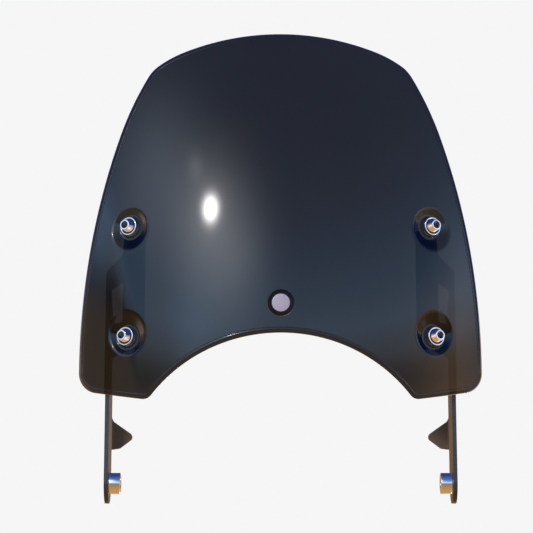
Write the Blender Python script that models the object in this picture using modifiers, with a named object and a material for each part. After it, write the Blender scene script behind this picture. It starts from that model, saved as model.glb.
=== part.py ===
"""A smoked motorcycle flyscreen on two folded plate brackets, with its bushes, rubber mounts and screws.

The origin is the middle of the brackets' pivot axis. +X is to the right seen from the front, -Y is
forward and +Z is up. Lengths are in millimetres until a mesh is made.
"""

import math

import bmesh
import bpy
from mathutils import Matrix, Vector
from mathutils.geometry import delaunay_2d_cdt

MM = 0.001

# The screen's front face: two crossed circular sweeps.
GLASS_THICK = 4.0
GLASS_FRONT_Y = -58.3
SWEEP_RADIUS = 305.0
LEAN_RADIUS = 640.0
LEAN_START_Z = 58.0

# The screen's outline, seen from the front: arcs that touch, given by radius and by the direction,
# from +X, where each ends.
TOP_Z = 434.8
TOP_RADIUS, TOP_END = 260.5, 68.8
CREST_RADIUS, CREST_END = 116.0, 54.7
SHOULDER_RADIUS, SHOULDER_END = 34.9, 29.6
UPPER_FLANK_RADIUS, UPPER_FLANK_END = 325.0, 18.3
FLANK_RADIUS, FLANK_END = 742.0, 0.2
TOE_RADIUS, TOE_END = 17.8, -85.3
HORN_RADIUS = 10.5
ARCH_RADIUS, ARCH_CENTRE_Z = 154.1, -9.1

# The brackets.
PLATE = 4.0
PLATE_MIDDLE_X = 164.5
LEAN = math.radians(12.2)
BAR_HALF = 19.0
FLANGE_BEND, FLANGE_BEND_RADIUS = math.radians(62.5), 3.0
TAB_BEND, TAB_BEND_RADIUS = math.radians(90.0), 4.0

# The flange: its strip's middle and half width, along the flange from the end of the bend. Then
# heights up the bracket: where the flange leaves the plate, below and above, and the window.
STRIP_MIDDLE, STRIP_HALF = 27.1, 11.0
FLANGE_FOOT, FLANGE_LOW, STRIP_TOP, FLANGE_TOP, PLATE_TOP = 108.0, 119.0, 216.0, 201.0, 168.0
WINDOW_FOOT, WINDOW_ROOT_TOP, WINDOW_STRIP_TOP, WINDOW_FROM_BEND = 150.0, 183.0, 190.0, 1.5

# The stop tab on the plate's rear edge: (across the blank, up it, corner radius).
TAB_CORNERS = ((-BAR_HALF, 66.0, 3.0), (-45.6, 47.3, 4.0), (-31.0, 36.2, 2.5), (-BAR_HALF, 34.3, 2.0))

# The screws: how far each stands along its flange from the end of the bend, and up the bracket.
SCREWS = {"upper": (27.9, 240.0), "lower": (26.0, 133.8)}
SCREW_HOLE_RADIUS = 3.3

# The stack on each screw, measured forward from the seat on the screen's front face.
GAP = 0.3
COLLAR_RADIUS, COLLAR_THICK = 9.0, 4.4
NECK_RADIUS, BACK_FLANGE_RADIUS, BACK_FLANGE_THICK = 5.5, 10.0, 2.0
SLEEVE_RADIUS, SLEEVE_BORE = 4.0, 3.3
CUP_RADIUS, CUP_RIM, CUP_FLOOR, CUP_HEIGHT = 8.7, 1.1, 0.6, 1.5
HEAD_BASE_RADIUS, HEAD_TOP_RADIUS, HEAD_HEIGHT = 5.9, 4.9, 7.3
SHANK_RADIUS, SHANK_LENGTH = 3.0, 29.0
SOCKET_RADIUS, SOCKET_DEPTH = 2.5 / math.cos(math.radians(30)), 4.0
BACK_WASHER_RADIUS, BACK_WASHER_THICK = 6.5, 1.2
NUT_ACROSS_FLATS, NUT_HEX, NUT_HEIGHT = 10.0, 4.6, 6.0

# The dishes pressed into the screen.
SEAT_RADIUS = 12.5
DISH_WALL = math.radians(28.5)
RIM_BLEND = 0.9
GLASS_HOLE_RADIUS = NECK_RADIUS + GAP

# The bushes at the pivot.
BUSH_RADIUS, BUSH_LENGTH, BUSH_BORE = 10.0, 10.3, 4.2
SPIGOT_RADIUS = 6.0

# The badge.
BADGE_Z = 172.5
BADGE_RADIUS, BADGE_HEIGHT = 12.6, 2.6
BADGE_LIP, BADGE_SHELF, BADGE_STEP = 1.5, 2.4, 0.5
DISC_THICK, DISC_DOME = 0.9, 0.5

UP = Vector((0, math.sin(LEAN), math.cos(LEAN)))
FORE = Vector((0, -math.cos(LEAN), math.sin(LEAN)))
RIGHT = Vector((1, 0, 0))


def flat(angle):
    """The unit direction at an angle, as a pair."""
    return Vector((math.cos(angle), math.sin(angle)))


def clear_scene():
    for obj in list(bpy.data.objects):
        bpy.data.objects.remove(obj)


def new_collection(name):
    collection = bpy.data.collections.new(name)
    bpy.context.scene.collection.children.link(collection)
    return collection


def new_material(name, colour, roughness, metallic=0.0, alpha=1.0):
    material = bpy.data.materials.new(name)
    material.use_nodes = True
    shader = material.node_tree.nodes["Principled BSDF"]
    shader.inputs["Base Color"].default_value = (*colour, 1)
    shader.inputs["Roughness"].default_value = roughness
    shader.inputs["Metallic"].default_value = metallic
    shader.inputs["Alpha"].default_value = alpha
    return material


def new_object(name, mesh, collection, place=Matrix()):
    obj = bpy.data.objects.new(name, mesh)
    collection.objects.link(obj)
    obj.matrix_world = place
    return obj


def mesh_of(name, points, faces=(), edges=()):
    """A mesh from points in millimetres."""
    mesh = bpy.data.meshes.new(name)
    mesh.from_pydata([Vector(point) * MM for point in points], edges, faces)
    return mesh


def baked(obj):
    """The object's mesh with its modifiers applied. The object goes."""
    bpy.context.view_layer.update()
    graph = bpy.context.evaluated_depsgraph_get()
    mesh = bpy.data.meshes.new_from_object(obj.evaluated_get(graph))
    bpy.data.objects.remove(obj)
    return mesh


def turned(name, profile, steps, through=True):
    """A mesh turned about Z from (radius, height) pairs that run down the outer side.

    A profile that goes through is a ring's whole section. Any other starts and ends on the axis.
    """
    edges = [(i, i + 1) for i in range(len(profile) - 1)]
    if through:
        edges.append((len(profile) - 1, 0))
    obj = new_object(name, mesh_of(name, [(r, 0, h) for r, h in profile], edges=edges), CUTTERS)
    screw = obj.modifiers.new("turn", "SCREW")
    screw.steps = screw.render_steps = steps
    screw.use_merge_vertices = True
    screw.merge_threshold = 1e-6
    return baked(obj)


def cylinder(name, radius, low, high, sides):
    """A cutter or a prism about Z, from one height to another."""
    mesh = bpy.data.meshes.new(name)
    shape = bmesh.new()
    bmesh.ops.create_cone(
        shape, cap_ends=True, segments=sides, radius1=radius * MM, radius2=radius * MM,
        depth=(high - low) * MM, matrix=Matrix.Translation((0, 0, (low + high) / 2 * MM)),
    )
    shape.to_mesh(mesh)
    shape.free()
    cutter = new_object(name, mesh, CUTTERS)
    cutter.hide_render = True
    cutter.display_type = "WIRE"
    return cutter


def combined(mesh, *steps):
    """The mesh after each (operation, other object) Boolean in turn."""
    obj = new_object(mesh.name, mesh, CUTTERS)
    for operation, other in steps:
        boolean = obj.modifiers.new(other.name, "BOOLEAN")
        boolean.operation = operation
        boolean.object = other
    return baked(obj)


def rounded(corners, step=math.radians(18)):
    """A closed outline through (x, y, radius) corners, with an arc at each."""
    outline = []
    for i, (x, y, radius) in enumerate(corners):
        here = Vector((x, y))
        back = (Vector(corners[i - 1][:2]) - here).normalized()
        ahead = (Vector(corners[(i + 1) % len(corners)][:2]) - here).normalized()
        half = back.angle(ahead) / 2
        centre = here + (back + ahead).normalized() * radius / math.sin(half)
        start = here + back * radius / math.tan(half) - centre
        turn = math.copysign(math.pi - 2 * half, -back.x * ahead.y + back.y * ahead.x)
        pieces = max(1, math.ceil(abs(turn) / step))
        for j in range(pieces + 1):
            a = turn * j / pieces
            outline.append(centre + Matrix.Rotation(a, 2) @ start)
    return outline


def ring(centre, radius, sides):
    return [Vector(centre) + radius * flat(2 * math.pi * i / sides) for i in range(sides)]


def inside(outline, point):
    """Whether a flat point lies inside a closed outline."""
    found = False
    for a, b in zip(outline, outline[1:] + outline[:1]):
        if (a.y > point.y) != (b.y > point.y):
            if point.x < a.x + (b.x - a.x) * (point.y - a.y) / (b.y - a.y):
                found = not found
    return found


def triangulated(outline, holes, loops=(), lines=(), loose=()):
    """(points, triangles) of a flat sheet. Its triangles follow the extra loops and lines."""
    points, edges = [], []
    for closed in (outline, *holes, *loops):
        first = len(points)
        points += closed
        edges += [(first + i, first + (i + 1) % len(closed)) for i in range(len(closed))]
    for a, b in lines:
        edges.append((len(points), len(points) + 1))
        points += [a, b]
    points += loose
    points, _, faces, *_ = delaunay_2d_cdt(points, edges, [], 0, 1e-4)
    kept = []
    for face in faces:
        middle = sum((points[i] for i in face), Vector((0, 0))) / len(face)
        if inside(outline, middle) and not any(inside(hole, middle) for hole in holes):
            kept.append(face)
    used = sorted({i for face in kept for i in face})
    place = {old: new for new, old in enumerate(used)}
    return [points[i] for i in used], [[place[i] for i in face] for face in kept]


def thicken(obj, thickness, offset):
    solidify = obj.modifiers.new("thickness", "SOLIDIFY")
    solidify.thickness = thickness * MM
    solidify.offset = offset
    solidify.use_even_offset = True
    solidify.use_quality_normals = True


# The bracket: a flat blank in (s, v), folded along lines of constant s.


def folded(s, v):
    """The point of the right bracket's middle surface at s across the blank and v up it."""
    x, fore = PLATE_MIDDLE_X, max(-BAR_HALF, min(BAR_HALF, s))
    for past, bend, radius in (
        (s - BAR_HALF, FLANGE_BEND, FLANGE_BEND_RADIUS),
        (-BAR_HALF - s, TAB_BEND, TAB_BEND_RADIUS),
    ):
        if past <= 0:
            continue
        turn = min(past / radius, bend)
        straight = past - turn * radius
        x -= radius * (1 - math.cos(turn)) + straight * math.sin(turn)
        fore += math.copysign(radius * math.sin(turn) + straight * math.cos(turn), s)
    return RIGHT * x + FORE * fore + UP * v


def flange_s(along):
    """The blank's s at a distance along the flange from the end of its bend."""
    return BAR_HALF + FLANGE_BEND * FLANGE_BEND_RADIUS + along


def bracket_blank():
    """The blank's outline, its holes and the lines it bends along."""
    lower, upper = (Vector((flange_s(SCREWS[level][0]), SCREWS[level][1])) for level in ("lower", "upper"))
    root = flange_s(0)
    near, far = flange_s(STRIP_MIDDLE - STRIP_HALF), flange_s(STRIP_MIDDLE + STRIP_HALF)
    end_radius = STRIP_HALF - 0.01
    outline = rounded([
        (-BAR_HALF, -BAR_HALF, BAR_HALF - 0.01),
        (BAR_HALF, -BAR_HALF, BAR_HALF - 0.01),
        (BAR_HALF, FLANGE_FOOT, 12),
        (root + 6, FLANGE_LOW, 10),
        (far, lower.y - STRIP_HALF, end_radius),
        (far, upper.y + STRIP_HALF, end_radius),
        (near, upper.y + STRIP_HALF, end_radius),
        (near, STRIP_TOP, 6),
        (root - 2, FLANGE_TOP, 10),
        (-BAR_HALF, PLATE_TOP, 14),
        *TAB_CORNERS,
    ])
    window_root = root + WINDOW_FROM_BEND
    window = rounded([
        (window_root, WINDOW_FOOT, 4),
        (near, WINDOW_FOOT, 4),
        (near, WINDOW_STRIP_TOP, 2.5),
        (window_root, WINDOW_ROOT_TOP, 2.5),
    ])
    holes = [
        window,
        ring((0, 0), SPIGOT_RADIUS + GAP, 32),
        ring(lower, SCREW_HOLE_RADIUS, 16),
        ring(upper, SCREW_HOLE_RADIUS, 16),
    ]
    bends = [BAR_HALF + FLANGE_BEND * FLANGE_BEND_RADIUS * i / 3 for i in range(4)]
    bends += [-BAR_HALF - TAB_BEND * TAB_BEND_RADIUS * i / 4 for i in range(5)]
    return outline, holes, [(Vector((s, -BAR_HALF)), Vector((s, 270))) for s in bends]


def build_brackets():
    outline, holes, bends = bracket_blank()
    points, faces = triangulated(outline, holes, lines=bends)
    mesh = mesh_of("bracket", [folded(*point) for point in points], faces)
    for name, side in (("bracket_left", -1), ("bracket_right", 1)):
        bracket = new_object(name, mesh, PART, Matrix.Diagonal((side, 1, 1, 1)))
        thicken(bracket, PLATE, 0)
    mesh.materials.append(BLACK_COAT)


# The screen.


def glass_front(x, z):
    """The front face's point before the dishes are pressed in."""
    across = SWEEP_RADIUS - math.sqrt(SWEEP_RADIUS**2 - x * x)
    lean = LEAN_RADIUS - math.sqrt(LEAN_RADIUS**2 - (z - LEAN_START_Z) ** 2)
    return Vector((x, GLASS_FRONT_Y + across + lean, z))


def seat_frame(level, side=1):
    """A dish's seat: its centre, with its Z axis forward along the screw."""
    along, up = SCREWS[level]
    out = RIGHT * math.cos(FLANGE_BEND) + FORE * math.sin(FLANGE_BEND)
    depth = PLATE / 2 + GAP + BACK_FLANGE_THICK + GAP + GLASS_THICK
    centre = folded(flange_s(along), up) + out * depth
    mirror = Vector((side, 1, 1))
    out, centre = out * mirror, centre * mirror
    frame = Matrix((UP.cross(out), UP, out)).transposed().to_4x4()
    frame.translation = centre
    return frame


def dished(point, seats):
    """A front-face point after the dishes are pressed in, each along its own screw."""
    for seat in seats:
        local = seat.inverted() @ point
        wall = max(0.0, local.xy.length - SEAT_RADIUS) * math.tan(DISH_WALL)
        blend = max(0.0, 1 - abs(local.z - wall) / RIM_BLEND)
        pressed = min(local.z, wall) - blend * blend * RIM_BLEND / 4
        if local.xy.length < SEAT_RADIUS:
            pressed = min(local.z, 0.0)
        point = seat @ Vector((local.x, local.y, pressed))
    return point


def above_seat(seat, radius, angle):
    """The front-face point over a seat's polar position, and its height over the seat."""
    height = 0.0
    for _ in range(12):
        point = seat @ Vector((*(radius * flat(angle)), height))
        height -= (point.y - glass_front(point.x, point.z).y) / seat.col[2].y
    point = seat @ Vector((*(radius * flat(angle)), height))
    return Vector((point.x, point.z)), height


def rim_radius(seat, angle):
    """Where a dish's wall meets the front face."""
    low, high = SEAT_RADIUS, 3 * SEAT_RADIUS
    for _ in range(30):
        middle = (low + high) / 2
        wall = (middle - SEAT_RADIUS) * math.tan(DISH_WALL)
        if wall < above_seat(seat, middle, angle)[1]:
            low = middle
        else:
            high = middle
    return low


def dish_loops(seat, sides=28):
    """The hole and the rings that a dish's mesh follows, in front view."""
    rings = [[] for _ in range(6)]
    for i in range(sides):
        angle = 2 * math.pi * i / sides
        rim = rim_radius(seat, angle)
        radii = (GLASS_HOLE_RADIUS, SEAT_RADIUS, (SEAT_RADIUS + rim) / 2, rim - 1.5, rim, rim + 1.5)
        for loop, radius in zip(rings, radii):
            loop.append(above_seat(seat, radius, angle)[0])
    return rings[0], rings[1:]


def arc(centre, radius, start, end, step):
    """Points along an arc, from one direction to another in radians, without its end."""
    pieces = max(2, math.ceil(abs(end - start) * radius / step))
    return [centre + radius * flat(start + (end - start) * i / pieces) for i in range(pieces)]


def screen_half_outline(step=9.0):
    """The right half of the screen's outline, from the top of the middle line to the arch's crown."""
    start = math.pi / 2
    centre = Vector((0, TOP_Z - TOP_RADIUS))
    radius = TOP_RADIUS
    end = math.radians(TOP_END)
    outline = arc(centre, radius, start, end, step)
    for next_radius, next_end, fine in (
        (CREST_RADIUS, CREST_END, step),
        (SHOULDER_RADIUS, SHOULDER_END, step / 1.5),
        (UPPER_FLANK_RADIUS, UPPER_FLANK_END, step),
        (FLANK_RADIUS, FLANK_END, step * 1.6),
        (TOE_RADIUS, TOE_END, step / 2),
    ):
        centre = centre + (radius - next_radius) * flat(end)
        radius, start, end = next_radius, end, math.radians(next_end)
        outline += arc(centre, radius, start, end, fine)
    # The toe's edge runs straight to the horn, whose arc touches the arch's circle.
    along = flat(end - math.pi / 2)
    line = centre + (radius - HORN_RADIUS) * flat(end)
    arch = Vector((0, ARCH_CENTRE_Z))
    from_arch = line - arch
    reach = from_arch.dot(along)
    square = from_arch.length_squared - (ARCH_RADIUS + HORN_RADIUS) ** 2
    run = -reach - math.sqrt(reach * reach - square)
    horn = line + along * run
    outline += [centre + radius * flat(end) + along * run * i / 4 for i in range(4)]
    to_arch = arch - horn
    inward = math.atan2(to_arch.y, to_arch.x)
    outline += arc(horn, HORN_RADIUS, end, inward, step / 2)
    outline += arc(arch, ARCH_RADIUS, inward + math.pi, math.pi / 2, step)
    outline.append(arch + Vector((0, ARCH_RADIUS)))
    return outline


def build_screen(step=17.0):
    seats = [seat_frame(level) for level in SCREWS]
    outline = screen_half_outline()
    top, crown = outline[0], outline[-1]
    outline[0] = Vector((0, top.y))
    outline[-1] = Vector((0, crown.y))
    outline += [Vector((0, crown.y + (top.y - crown.y) * i / 16)) for i in range(1, 16)]
    holes, loops = zip(*(dish_loops(seat) for seat in seats))
    loops = [loop for group in loops for loop in group]
    loose = []
    for row in range(int(TOP_Z / step)):
        for column in range(int(200 / step) + 1):
            point = Vector(((column + 0.5 + (row % 2) / 2) * step, (row + 0.5) * step))
            near = min((point - other).length for other in outline + loops[4] + loops[9])
            if near > step * 0.55 and not any(inside(loop, point) for loop in loops):
                loose.append(point)
    points, faces = triangulated(outline, holes, loops, loose=loose)
    mesh = mesh_of("screen", [dished(glass_front(*point), seats) for point in points], faces)
    mesh.materials.append(SMOKED_ACRYLIC)
    screen = new_object("screen", mesh, PART)
    mirror = screen.modifiers.new("other half", "MIRROR")
    mirror.merge_threshold = 1e-5
    thicken(screen, GLASS_THICK, -1)


# The hardware.


def stacked(seat, height):
    """A place on a screw, at a height over the seat."""
    place = seat.copy()
    place.translation = (seat @ Vector((0, 0, height))) * MM
    return place


def grommet_mesh():
    top = GAP + COLLAR_THICK
    back = -GLASS_THICK - GAP
    bore = SLEEVE_RADIUS + GAP
    return turned("grommet", [
        (bore, top), (COLLAR_RADIUS - 0.6, top), (COLLAR_RADIUS, top - 0.6),
        (COLLAR_RADIUS, GAP + 0.5), (COLLAR_RADIUS - 0.5, GAP), (NECK_RADIUS, GAP),
        (NECK_RADIUS, back), (BACK_FLANGE_RADIUS, back), (BACK_FLANGE_RADIUS, back - BACK_FLANGE_THICK),
        (bore, back - BACK_FLANGE_THICK),
    ], 24)


def sleeve_mesh():
    top = GAP + COLLAR_THICK
    foot = -GLASS_THICK - GAP - BACK_FLANGE_THICK
    return turned("spacer_sleeve", [
        (SLEEVE_BORE, top), (SLEEVE_RADIUS, top), (SLEEVE_RADIUS, foot), (SLEEVE_BORE, foot),
    ], 20)


def cup_mesh():
    """The cup washer, from its back face forward."""
    inner = CUP_RADIUS - CUP_RIM
    return turned("cup_washer", [
        (SLEEVE_BORE, CUP_FLOOR), (inner - 0.2, CUP_FLOOR), (inner, CUP_HEIGHT - 0.2),
        (inner + 0.3, CUP_HEIGHT), (CUP_RADIUS - 0.4, CUP_HEIGHT), (CUP_RADIUS, CUP_HEIGHT - 0.4),
        (CUP_RADIUS, 0.3), (CUP_RADIUS - 0.3, 0), (SLEEVE_BORE, 0),
    ], 28)


def cap_screw_mesh():
    """The cap screw, from the underside of its tapered head."""
    blank = turned("cap_screw", [
        (0, HEAD_HEIGHT), (HEAD_TOP_RADIUS - 0.4, HEAD_HEIGHT), (HEAD_TOP_RADIUS, HEAD_HEIGHT - 0.4),
        (HEAD_BASE_RADIUS, 0.4), (HEAD_BASE_RADIUS - 0.4, 0), (SHANK_RADIUS, 0),
        (SHANK_RADIUS, 0.6 - SHANK_LENGTH), (SHANK_RADIUS - 0.6, -SHANK_LENGTH), (0, -SHANK_LENGTH),
    ], 24, through=False)
    socket = cylinder("socket_cutter", SOCKET_RADIUS, HEAD_HEIGHT - SOCKET_DEPTH, HEAD_HEIGHT + 1, 6)
    return combined(blank, ("DIFFERENCE", socket))


def washer_mesh():
    return turned("back_washer", [
        (SCREW_HOLE_RADIUS, 0), (BACK_WASHER_RADIUS, 0), (BACK_WASHER_RADIUS, -BACK_WASHER_THICK),
        (SCREW_HOLE_RADIUS, -BACK_WASHER_THICK),
    ], 24)


def nut_mesh():
    """The lock nut, from its front face back, with a round collar over its nylon ring."""
    corner = NUT_ACROSS_FLATS / 2 / math.cos(math.radians(30))
    collar = cylinder("nut_collar", NUT_ACROSS_FLATS / 2 - 0.5, -NUT_HEIGHT, -1, 20)
    bore = cylinder("nut_bore", SCREW_HOLE_RADIUS, -NUT_HEIGHT - 1, 1, 16)
    body = cylinder("lock_nut", corner, -NUT_HEX, 0, 6)
    mesh = body.data
    bpy.data.objects.remove(body)
    return combined(mesh, ("UNION", collar), ("DIFFERENCE", bore))


def build_hardware():
    head = GAP + COLLAR_THICK + GAP
    behind = -GLASS_THICK - GAP - BACK_FLANGE_THICK - GAP - PLATE - GAP
    kinds = (
        ("grommet", grommet_mesh(), 0, RUBBER),
        ("spacer_sleeve", sleeve_mesh(), 0, STEEL),
        ("cup_washer", cup_mesh(), head, CHROME),
        ("cap_screw", cap_screw_mesh(), head + CUP_FLOOR + GAP, CHROME),
        ("back_washer", washer_mesh(), behind, STEEL),
        ("lock_nut", nut_mesh(), behind - BACK_WASHER_THICK - GAP, STEEL),
    )
    for kind, mesh, height, material in kinds:
        mesh.materials.append(material)
        for level in SCREWS:
            for side_name, side in (("left", -1), ("right", 1)):
                seat = seat_frame(level, side)
                new_object(f"{kind}_{level}_{side_name}", mesh, PART, stacked(seat, height))


def build_bushes():
    """A turned bush on each bracket's inner face, with a spigot through the bracket's pivot hole."""
    shoulder = PLATE_MIDDLE_X - PLATE / 2 - GAP
    tip = PLATE_MIDDLE_X + PLATE / 2
    end = shoulder - BUSH_LENGTH
    mesh = turned("bush", [
        (BUSH_BORE, tip), (SPIGOT_RADIUS, tip), (SPIGOT_RADIUS, shoulder),
        (BUSH_RADIUS - 0.5, shoulder), (BUSH_RADIUS, shoulder - 0.5), (BUSH_RADIUS, end + 0.8),
        (BUSH_RADIUS - 0.8, end), (BUSH_BORE, end),
    ], 32)
    mesh.materials.append(CHROME)
    for name, side in (("bush_left", -1), ("bush_right", 1)):
        new_object(name, mesh, PART, Matrix.Rotation(side * math.pi / 2, 4, "Y"))


def build_badge():
    """A black bezel with a plain domed disc in it, lying on the screen's middle line."""
    middle = glass_front(0, BADGE_Z)
    lean = math.asin((BADGE_Z - LEAN_START_Z) / LEAN_RADIUS)
    place = Matrix.Rotation(math.pi / 2 - lean, 4, "X")
    out = place.col[2].xyz
    lip = BADGE_RADIUS - BADGE_LIP
    recess = lip - BADGE_SHELF
    shelf = BADGE_HEIGHT - BADGE_STEP
    floor = shelf - DISC_THICK - DISC_DOME
    place.translation = (middle + out * GAP) * MM
    bezel = turned("badge_bezel", [
        (0, floor), (recess, floor), (recess, shelf), (lip - 0.2, shelf), (lip, BADGE_HEIGHT - 0.1),
        (lip + 0.3, BADGE_HEIGHT), (BADGE_RADIUS - 0.6, BADGE_HEIGHT - 0.2),
        (BADGE_RADIUS, BADGE_HEIGHT - 0.9), (BADGE_RADIUS, 0), (0, 0),
    ], 40, through=False)
    low = floor + GAP
    face = recess - GAP
    disc = turned("badge_disc", [
        (0, low + DISC_THICK + DISC_DOME), (face * 0.5, low + DISC_THICK + DISC_DOME * 0.75),
        (face, low + DISC_THICK), (face, low), (0, low),
    ], 40, through=False)
    bezel.materials.append(BADGE_BLACK)
    disc.materials.append(BADGE_SILVER)
    new_object("badge_bezel", bezel, PART, place)
    new_object("badge_disc", disc, PART, place)


clear_scene()
PART = new_collection("flyscreen")
CUTTERS = new_collection("cutters")
SMOKED_ACRYLIC = new_material("smoked_acrylic", (0.03, 0.035, 0.045), 0.05, alpha=0.9)
BLACK_COAT = new_material("black_powder_coat", (0.02, 0.02, 0.022), 0.45)
CHROME = new_material("chrome", (0.8, 0.8, 0.82), 0.08, 1.0)
STEEL = new_material("zinc_steel", (0.55, 0.56, 0.58), 0.3, 1.0)
RUBBER = new_material("black_rubber", (0.015, 0.015, 0.015), 0.7)
BADGE_BLACK = new_material("badge_black", (0.01, 0.01, 0.012), 0.2)
BADGE_SILVER = new_material("badge_silver", (0.6, 0.6, 0.66), 0.3, 1.0)
build_screen()
build_brackets()
build_hardware()
build_bushes()
build_badge()
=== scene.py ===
"""The looks of the smoked flyscreen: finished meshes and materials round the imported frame.

Lengths are in millimetres until a mesh is made, as in the CAD. -Y is forward and +Z is up.
"""

import math

import bmesh
import bpy
import numpy as np
from mathutils import Matrix, Vector
from mathutils.geometry import delaunay_2d_cdt


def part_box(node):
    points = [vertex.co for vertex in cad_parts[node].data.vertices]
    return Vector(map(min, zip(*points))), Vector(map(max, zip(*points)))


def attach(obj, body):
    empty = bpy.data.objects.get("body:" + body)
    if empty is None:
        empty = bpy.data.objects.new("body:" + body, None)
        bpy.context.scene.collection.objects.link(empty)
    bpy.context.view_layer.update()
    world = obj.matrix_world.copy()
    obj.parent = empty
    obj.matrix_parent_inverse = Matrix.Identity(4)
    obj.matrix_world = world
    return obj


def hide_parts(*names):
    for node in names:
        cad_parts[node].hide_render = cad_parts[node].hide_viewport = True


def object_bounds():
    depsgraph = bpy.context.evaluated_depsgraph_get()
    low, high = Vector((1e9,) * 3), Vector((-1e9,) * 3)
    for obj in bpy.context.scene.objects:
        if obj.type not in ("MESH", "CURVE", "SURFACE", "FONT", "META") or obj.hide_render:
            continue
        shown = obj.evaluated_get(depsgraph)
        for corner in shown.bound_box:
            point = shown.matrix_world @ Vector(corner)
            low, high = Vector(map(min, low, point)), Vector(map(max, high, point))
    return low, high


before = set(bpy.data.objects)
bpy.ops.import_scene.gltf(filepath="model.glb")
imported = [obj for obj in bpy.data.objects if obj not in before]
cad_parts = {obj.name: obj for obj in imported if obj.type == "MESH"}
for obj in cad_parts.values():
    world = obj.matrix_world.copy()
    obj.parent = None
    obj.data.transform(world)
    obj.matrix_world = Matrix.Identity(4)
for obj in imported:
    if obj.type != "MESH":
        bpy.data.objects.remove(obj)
cad_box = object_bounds()

MM = 0.001
SIDES = {"left": -1, "right": 1}
LEVELS = ("upper", "lower")
CORNERS = [f"{level}_{side}" for level in LEVELS for side in SIDES]

# The screen's front face and outline.
GLASS_THICK = 4.0
GLASS_FRONT_Y = -58.3
SWEEP_RADIUS = 305.0
LEAN_RADIUS = 640.0
LEAN_START_Z = 58.0
TOP_Z = 434.8
TOP_RADIUS, TOP_END = 260.5, 68.8
CREST_RADIUS, CREST_END = 116.0, 54.7
SHOULDER_RADIUS, SHOULDER_END = 34.9, 29.6
UPPER_FLANK_RADIUS, UPPER_FLANK_END = 325.0, 18.3
FLANK_RADIUS, FLANK_END = 742.0, 0.2
TOE_RADIUS, TOE_END = 17.8, -85.3
HORN_RADIUS = 10.5
ARCH_RADIUS, ARCH_CENTRE_Z = 154.1, -9.1

# The polished edge: how far it runs in and back from the rim, in front and behind, and the fine
# hollow that the polishing wheel leaves inside it.
FRONT_EDGE, FRONT_EDGE_DEPTH = 4.2, 2.3
BACK_EDGE = 1.6
HOLLOW_WIDTH, HOLLOW_DEPTH = 1.7, 0.16
FRONT_EDGE_STEPS, HOLLOW_STEPS, BACK_EDGE_STEPS = 11, 8, 7

# The dishes, with the rounding at their rims and round their flat seats.
SEAT_RADIUS = 12.5
DISH_WALL = math.radians(28.5)
RIM_BLEND, SEAT_BLEND = 1.2, 0.35
GLASS_HOLE_RADIUS = 5.8

# The screen's mesh: steps along its outline and between its loose points, rounds that find a height
# over a seat and a dish's rim, and the loops round each hole: radii on the seat and by it, then
# shares of the way from there to the rim, then distances from the rim.
OUTLINE_STEP, FACE_STEP, FACE_COLUMNS = 1.3, 6.5, 32
DISH_SIDES = 84
HEIGHT_ROUNDS, RIM_ROUNDS = 14, 26
SEAT_LOOPS = (7.5, 9.2, 10.6, 11.6, 12.1, 12.5, 12.9, 13.4)
WALL_LOOPS = (0.16, 0.36, 0.56, 0.76)
RIM_LOOPS = (-2.0, -1.5, -1.0, -0.5, 0.0, 0.5, 1.0, 1.5, 2.0, 3.4)

# The brackets.
PLATE = 4.0
PLATE_MIDDLE_X = 164.5
LEAN = math.radians(12.2)
BAR_HALF = 19.0
FLANGE_BEND, FLANGE_BEND_RADIUS = math.radians(62.5), 3.0
TAB_BEND, TAB_BEND_RADIUS = math.radians(90.0), 4.0
STRIP_MIDDLE, STRIP_HALF = 27.1, 11.0
FLANGE_FOOT, FLANGE_LOW, STRIP_TOP, FLANGE_TOP, PLATE_TOP = 108.0, 119.0, 216.0, 201.0, 168.0
WINDOW_FOOT, WINDOW_ROOT_TOP, WINDOW_STRIP_TOP, WINDOW_FROM_BEND = 150.0, 183.0, 190.0, 1.5
TAB_CORNERS = ((-BAR_HALF, 66.0, 3.0), (-45.6, 47.3, 4.0), (-31.0, 36.2, 2.5), (-BAR_HALF, 34.3, 2.0))
SCREWS = {"upper": (27.9, 240.0), "lower": (26.0, 133.8)}
SCREW_HOLE_RADIUS = 3.3
PIVOT_HOLE_RADIUS = 6.3
PLATE_EDGE = 0.45
# The steps round each bend, and where the mesh's lines along them start and end, past the blank.
FLANGE_FOLDS, TAB_FOLDS = 9, 12
FOLD_FOOT, FOLD_TOP = -24.0, 270.0
# The share of a tab's bend after which it is brown, a painted reflection of warm ground on its black
# coat.
PAINTED_REFLECTION_FROM = 0.4

# The stack on each screw, forward from its seat on the screen.
GAP = 0.3
COLLAR_RADIUS, COLLAR_THICK, COLLAR_RIBS = 9.0, 4.4, 44
# A thin black lip on the seat round the collar: painted shade where the collar's shadow falls.
SHADE_LIP_RADIUS, SHADE_LIP_THICK = 10.6, 0.4
NECK_RADIUS, BACK_FLANGE_RADIUS, BACK_FLANGE_THICK = 5.5, 10.0, 2.0
SLEEVE_RADIUS = 4.0
CUP_RADIUS, CUP_RIM, CUP_FLOOR, CUP_HEIGHT = 8.7, 1.1, 0.6, 1.5
HEAD_BASE_RADIUS, HEAD_TOP_RADIUS, HEAD_HEIGHT, HEAD_RIBS = 5.9, 4.9, 7.3, 36
HEAD_RIB_DEPTH, COLLAR_RIB_DEPTH = 0.03, 0.4
SHANK_RADIUS, SHANK_LENGTH = 3.0, 29.0
THREAD_LENGTH, THREAD_DEPTH, THREAD_FROM_TIP, PITCH = 18.0, 0.45, 1.2, 1.0
SOCKET_RADIUS, SOCKET_DEPTH, LEAD_IN_RADIUS = 2.5 / math.cos(math.radians(30)), 4.0, 3.6
WASHER_RADIUS, WASHER_THICK = 6.5, 1.2
NUT_CORNER, NUT_HEX, NUT_HEIGHT = 5.0 / math.cos(math.radians(30)), 4.6, 6.0
NUT_COLLAR_FOOT, NUT_COLLAR_RADIUS, NUT_COLLAR_TOP = 4.75, 4.6, 4.2
POCKET_RADIUS, POCKET_DEPTH = 3.9, 1.3
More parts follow.
